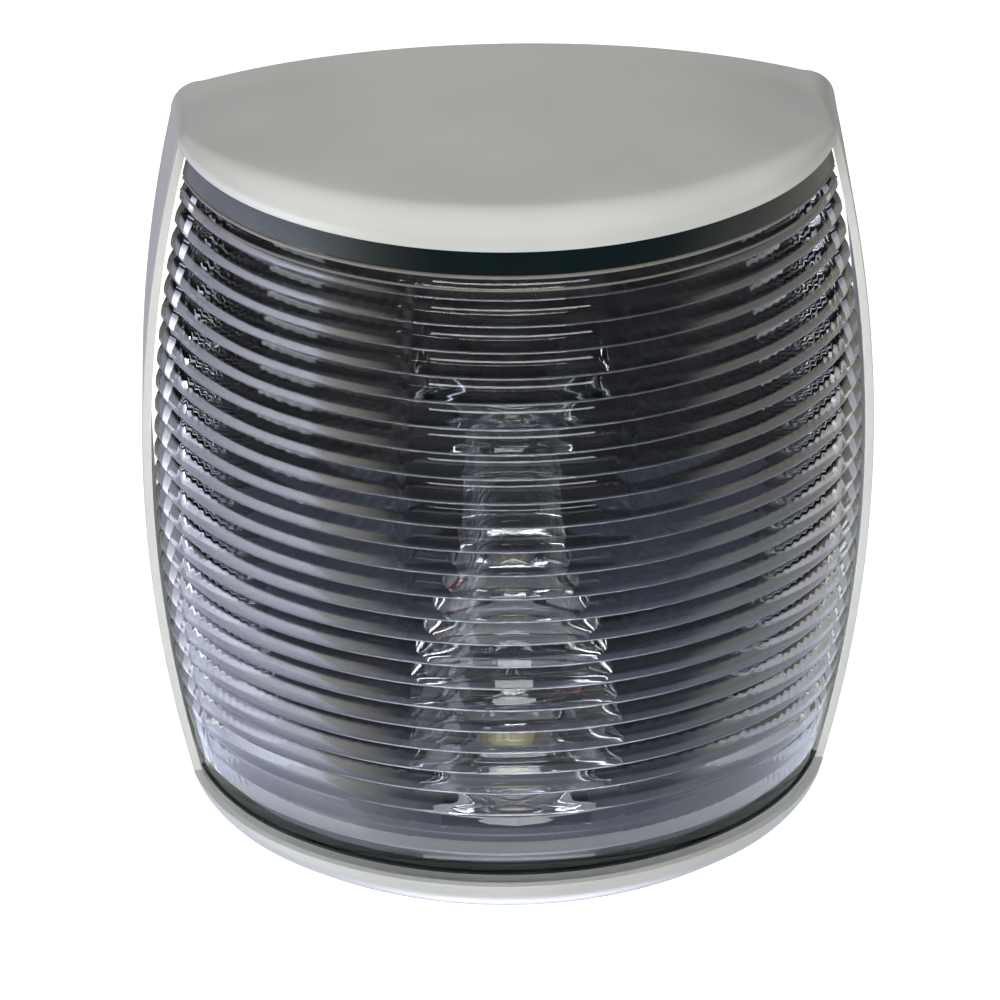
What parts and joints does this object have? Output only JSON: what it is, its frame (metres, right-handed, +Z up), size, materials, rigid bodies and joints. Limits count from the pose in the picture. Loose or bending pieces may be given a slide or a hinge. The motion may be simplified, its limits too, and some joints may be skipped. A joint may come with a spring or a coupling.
{
  "type": "navigation light",
  "caption": "Compact boat navigation light with a barrel-shaped ribbed clear lens, an hourglass light guide and a pull-off white shroud.",
  "frame": {"origin": "centre of the flat rear face that meets the bulkhead", "axes": "+Y into the bulkhead, so the lens faces -Y; +Z up; +X to the right seen from the front"},
  "size_m": [0.0702, 0.0391, 0.0754],
  "materials": {
    "white_shroud": "glossy white moulding",
    "clear_lens": "clear polished acrylic with horizontal ribs",
    "clear_optic": "clear polished acrylic",
    "silvered": "vacuum-silvered plastic",
    "black_nylon": "fine matt texture",
    "dark_bezel": "satin dark grey",
    "seal_rubber": "soft matt",
    "gasket_foam": "closed-cell foam",
    "insert_brass": "machined",
    "screw_steel": "bright stainless",
    "circuit_board": "green solder mask",
    "component_black": "moulded epoxy",
    "capacitor_can": "drawn can",
    "spreader_aluminium": "mill finish",
    "led_board_white": "white solder mask on metal core",
    "led_phosphor": "silicone over yellow phosphor",
    "lead_red": "PVC insulation",
    "lead_black": "PVC insulation"
  },
  "bodies": {
    "lamp": {"lens": "clear_lens", "lens_seal": "seal_rubber", "base_tray": "black_nylon", "mounting_gasket": "gasket_foam", "cable_grommet": "seal_rubber", "vent_plug": "seal_rubber", "mounting_insert_left": "insert_brass", "mounting_insert_right": "insert_brass", "driver_board": "circuit_board", "board_screw_1": "screw_steel", "board_screw_2": "screw_steel", "board_screw_3": "screw_steel", "board_screw_4": "screw_steel", "terminal_block": "component_black", "driver_inductor": "component_black", "driver_regulator": "component_black", "driver_capacitor_1": "capacitor_can", "driver_capacitor_2": "capacitor_can", "inner_bezel": "dark_bezel", "heat_spreader": "spreader_aluminium", "led_board": "led_board_white", "led_chip": "led_phosphor", "led_screw_1": "screw_steel", "led_screw_2": "screw_steel", "light_guide": "clear_optic", "top_reflector": "silvered", "led_lead_red": "lead_red", "led_lead_black": "lead_black"},
    "shroud": {"shroud": "white_shroud"}
  },
  "joints": [
    {"name": "shroud_slide", "type": "slide", "parent": "lamp", "child": "shroud", "axis": [0, -1, 0], "range_m": [0, 0.05]}
  ]
}
